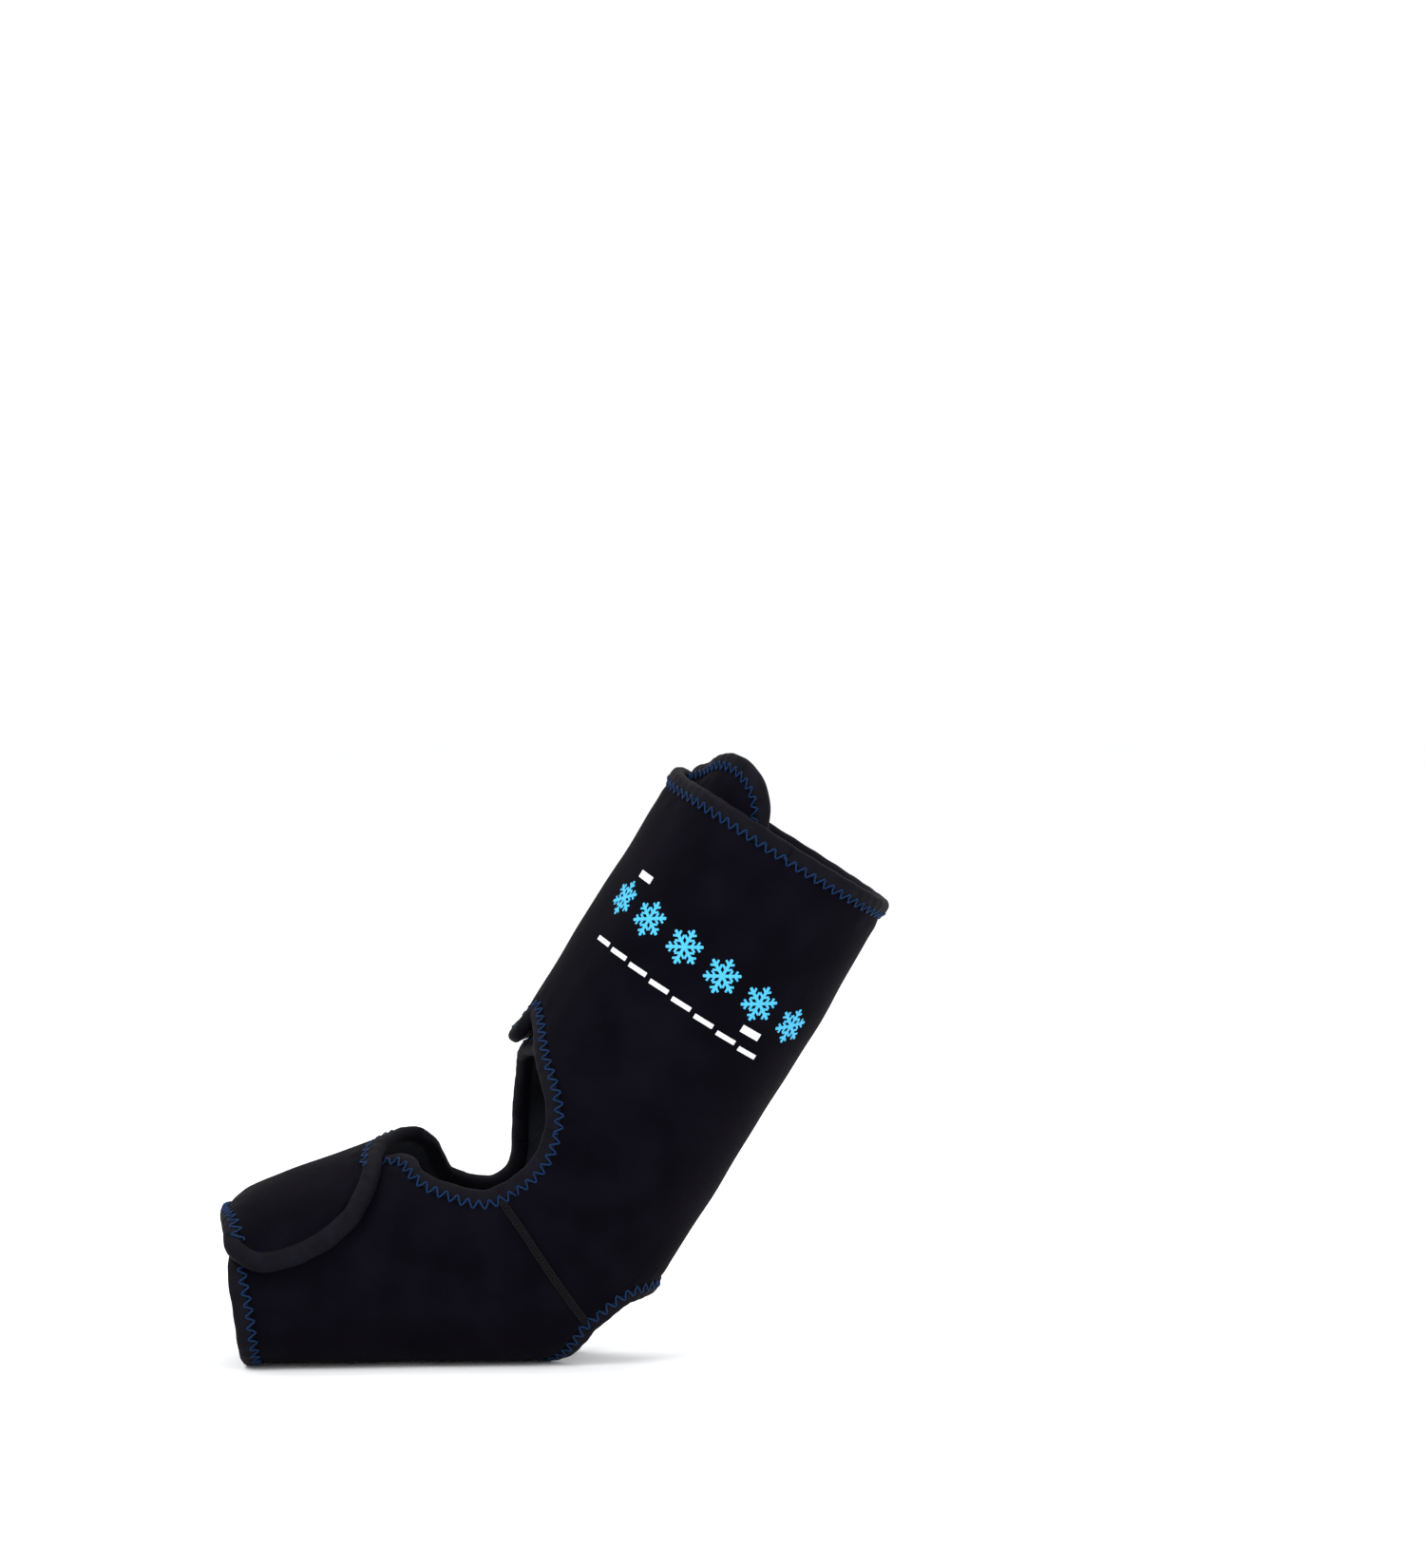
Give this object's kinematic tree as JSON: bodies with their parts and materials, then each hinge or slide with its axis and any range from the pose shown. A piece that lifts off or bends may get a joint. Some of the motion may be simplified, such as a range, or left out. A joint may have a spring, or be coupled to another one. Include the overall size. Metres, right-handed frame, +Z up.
{
  "type": "cold compression ankle wrap",
  "caption": "Neoprene ankle and foot wrap in its worn shape, with hook-and-loop closure flap and foot strap, open instep and heel, and slide-in gel packs.",
  "frame": {"origin": "centre of the wrap's outline on the floor it stands on, under the sole", "axes": "+Z up from the sole, +X towards the heel and calf, -X towards the toes, -Y to the printed outer side"},
  "size_m": [0.2588, 0.0976, 0.2359],
  "materials": {
    "neoprene": "matte jersey-faced neoprene",
    "binding_tape": "matte ribbed binding tape",
    "stitch_thread": "satin polyester thread",
    "seam_thread": "satin polyester thread",
    "hook_tape": "moulded nylon hooks",
    "loop_tape": "brushed nylon loops",
    "gel_pack_film": "glossy flexible film",
    "pocket_mesh": "knitted mesh",
    "cyan_print": "satin transfer print",
    "white_print": "satin transfer print"
  },
  "bodies": {
    "sleeve": {"foot_panel": "neoprene", "heel_opening_binding": "binding_tape", "heel_opening_stitches": "stitch_thread", "inner_ankle_seam": "seam_thread", "inner_instep_binding": "binding_tape", "inner_instep_stitches": "stitch_thread", "inner_pocket": "pocket_mesh", "inner_pocket_hem": "binding_tape", "leg_panel": "neoprene", "outer_ankle_seam": "seam_thread", "outer_instep_binding": "binding_tape", "outer_instep_stitches": "stitch_thread", "outer_pocket": "pocket_mesh", "outer_pocket_hem": "binding_tape", "rear_dashes": "white_print", "rear_snowflakes": "cyan_print", "rim_binding": "binding_tape", "rim_stitches": "stitch_thread", "strap_loop_patch": "loop_tape", "toe_edge_binding": "binding_tape", "toe_edge_stitches": "stitch_thread"},
    "closure_flap": {"closure_flap": "neoprene", "closure_flap_binding": "binding_tape", "closure_flap_stitches": "stitch_thread", "closure_hook_patch": "hook_tape", "front_snowflakes": "cyan_print", "front_dashes": "white_print"},
    "shin_tab": {"shin_tab": "neoprene", "shin_tab_binding": "binding_tape", "shin_tab_stitches": "stitch_thread", "closure_loop_patch": "loop_tape"},
    "foot_strap": {"foot_strap": "neoprene", "foot_strap_binding": "binding_tape", "foot_strap_stitches": "stitch_thread", "strap_hook_patch": "hook_tape"},
    "outer_gel_pack": {"outer_gel_pack": "gel_pack_film"},
    "inner_gel_pack": {"inner_gel_pack": "gel_pack_film"}
  },
  "joints": [
    {"name": "closure_flap_fold", "type": "hinge", "parent": "sleeve", "child": "closure_flap", "pos_m": [0.00148, -0.04046, 0.0911], "axis": [0.6359, -0.0625, 0.7692], "range_deg": [0, 120]},
    {"name": "shin_tab_fold", "type": "hinge", "parent": "sleeve", "child": "shin_tab", "pos_m": [-0.014, 0.03569, 0.08242], "axis": [-0.6034, -0.0812, -0.7933], "range_deg": [0, 54]},
    {"name": "foot_strap_fold", "type": "hinge", "parent": "sleeve", "child": "foot_strap", "pos_m": [-0.11883, 0.02959, 0.05758], "axis": [-0.983, -0.0327, -0.1805], "range_deg": [0, 120]},
    {"name": "outer_gel_pack_slide", "type": "slide", "parent": "sleeve", "child": "outer_gel_pack", "axis": [0.5201, -0.0142, 0.854], "range_m": [0, 0.11]},
    {"name": "inner_gel_pack_slide", "type": "slide", "parent": "sleeve", "child": "inner_gel_pack", "axis": [0.5201, 0.0142, 0.854], "range_m": [0, 0.11]}
  ],
  "couplings": [
    {"joint": "shin_tab_fold", "follows": "closure_flap_fold", "ratio": 0.45}
  ]
}
